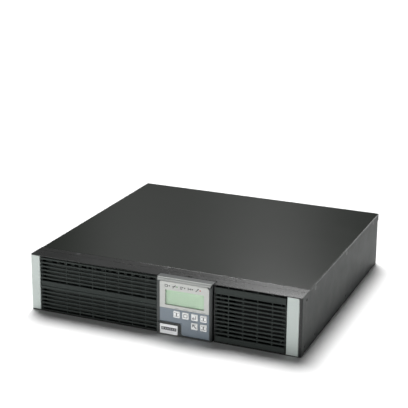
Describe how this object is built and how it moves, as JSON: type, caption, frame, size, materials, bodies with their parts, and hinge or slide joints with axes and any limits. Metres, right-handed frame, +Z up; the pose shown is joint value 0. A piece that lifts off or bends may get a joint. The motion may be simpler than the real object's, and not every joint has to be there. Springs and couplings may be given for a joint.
{
  "type": "uninterruptible power supply",
  "caption": "Low rack or tower uninterruptible power supply with a louvred battery door, a pull-out display module with keys, slide-out battery tray, rear fan and mains sockets.",
  "frame": {"origin": "middle of the base, under the centre of the case", "axes": "+X to the right seen from the front, -Y is the front with the display, +Z up"},
  "size_m": [0.428, 0.417, 0.088],
  "materials": {
    "case_paint": "fine textured black-grey powder coat",
    "cover_paint": "fine textured charcoal powder coat",
    "zinc_steel": "zinc-plated sheet steel",
    "bezel_plastic": "fine spark-eroded texture",
    "silver_paint": "silver metallic paint on plastic",
    "black_plastic": "moulded, satin",
    "pale_plastic": "smooth satin light grey",
    "keypad_plastic": "satin blue-grey",
    "key_plastic": "smooth off-white",
    "label_plate": "smooth white label",
    "screen_glass": "clear cover lens",
    "screen_green": "pale green display layer",
    "lens_plastic": "translucent lens",
    "circuit_board": "solder-masked laminate",
    "battery_plastic": "moulded battery case",
    "brass_plate": "plated brass",
    "aluminium": "extruded",
    "copper_wire": "enamelled copper",
    "core_steel": "varnished laminations",
    "rubber_mat": "silicone rubber",
    "wire_red": "wire insulation",
    "ribbon_grey": "ribbon cable",
    "taped_coil": "copper winding under black tape",
    "frame_paint": "satin black-grey powder coat",
    "grille_plastic": "fine spark-eroded texture",
    "black_screw": "black zinc-plated screws",
    "housing_plastic": "moulded, satin, dark grey",
    "fastener_steel": "zinc-plated fasteners and wire",
    "component_black": "moulded epoxy",
    "capacitor_sleeve": "shrunk sleeve",
    "connector_grey": "moulded connector",
    "port_metal": "plated port shells"
  },
  "bodies": {
    "case": {"chassis_base": "case_paint", "front_frame": "frame_paint", "rear_panel": "case_paint", "top_cover": "cover_paint", "bay_divider": "zinc_steel", "front_bezel": "bezel_plastic", "left_pillar": "silver_paint", "right_pillar": "silver_paint", "right_grille": "grille_plastic", "battery_rails": "black_plastic", "bay_socket": "connector_grey", "main_board": "circuit_board", "board_standoffs": "fastener_steel", "heat_sinks": "aluminium", "power_transistors": "component_black", "bulk_capacitors": "capacitor_sleeve", "relays": "component_black", "transformer_core": "core_steel", "transformer_coil": "taped_coil", "filter_choke": "copper_wire", "ribbon_cable": "ribbon_grey", "fan_frame": "black_plastic", "fan_guard": "fastener_steel", "inlet_socket": "black_plastic", "inlet_pins": "brass_plate", "outlet_banks": "black_plastic", "breaker_body": "black_plastic", "data_ports": "port_metal", "slot_cover": "case_paint", "earth_stud": "brass_plate", "case_screws": "black_screw"},
    "tray": {"battery_tray": "case_paint", "tray_handle": "black_plastic", "battery_1": "battery_plastic", "battery_2": "battery_plastic", "battery_3": "battery_plastic", "battery_tabs": "brass_plate", "hold_down_straps": "zinc_steel", "battery_leads": "wire_red", "tray_plug": "connector_grey"},
    "door": {"battery_door": "grille_plastic"},
    "display": {"display_housing": "housing_plastic", "display_trim": "silver_paint", "lcd_plate": "pale_plastic", "lcd_glass": "screen_glass", "lcd_panel": "screen_green", "keypad_plate": "keypad_plastic", "name_plate": "label_plate", "status_lights": "lens_plastic", "display_board": "circuit_board", "display_back": "black_plastic", "key_mat": "rubber_mat"},
    "key_1": {"key_1": "key_plastic"},
    "key_2": {"key_2": "key_plastic"},
    "key_3": {"key_3": "key_plastic"},
    "key_4": {"key_4": "key_plastic"},
    "key_5": {"key_5": "key_plastic"},
    "key_6": {"key_6": "key_plastic"},
    "fan": {"fan_rotor": "black_plastic"},
    "breaker": {"breaker_button": "key_plastic"}
  },
  "joints": [
    {"name": "tray_slide", "type": "slide", "parent": "case", "child": "tray", "axis": [0, -1, 0], "range_m": [0, 0.27]},
    {"name": "door_slide", "type": "slide", "parent": "case", "child": "door", "axis": [0, -1, 0], "range_m": [0, 0.3]},
    {"name": "display_slide", "type": "slide", "parent": "case", "child": "display", "axis": [0, -1, 0], "range_m": [0, 0.02]},
    {"name": "key_1_press", "type": "slide", "parent": "display", "child": "key_1", "axis": [0, 1, 0], "range_m": [0, 0.0008], "stiffness_N_per_m": 1200},
    {"name": "key_2_press", "type": "slide", "parent": "display", "child": "key_2", "axis": [0, 1, 0], "range_m": [0, 0.0008], "stiffness_N_per_m": 1200},
    {"name": "key_3_press", "type": "slide", "parent": "display", "child": "key_3", "axis": [0, 1, 0], "range_m": [0, 0.0008], "stiffness_N_per_m": 1200},
    {"name": "key_4_press", "type": "slide", "parent": "display", "child": "key_4", "axis": [0, 1, 0], "range_m": [0, 0.0008], "stiffness_N_per_m": 1200},
    {"name": "key_5_press", "type": "slide", "parent": "display", "child": "key_5", "axis": [0, 1, 0], "range_m": [0, 0.0008], "stiffness_N_per_m": 1200},
    {"name": "key_6_press", "type": "slide", "parent": "display", "child": "key_6", "axis": [0, 1, 0], "range_m": [0, 0.0008], "stiffness_N_per_m": 1200},
    {"name": "fan_spin", "type": "hinge", "parent": "case", "child": "fan", "pos_m": [0.15, 0.189, 0.044], "axis": [0, 1, 0], "continuous": true},
    {"name": "breaker_pop", "type": "slide", "parent": "case", "child": "breaker", "axis": [0, 1, 0], "range_m": [0, 0.004]}
  ],
  "couplings": [
    {"joint": "door_slide", "follows": "tray_slide", "ratio": 1.11}
  ]
}
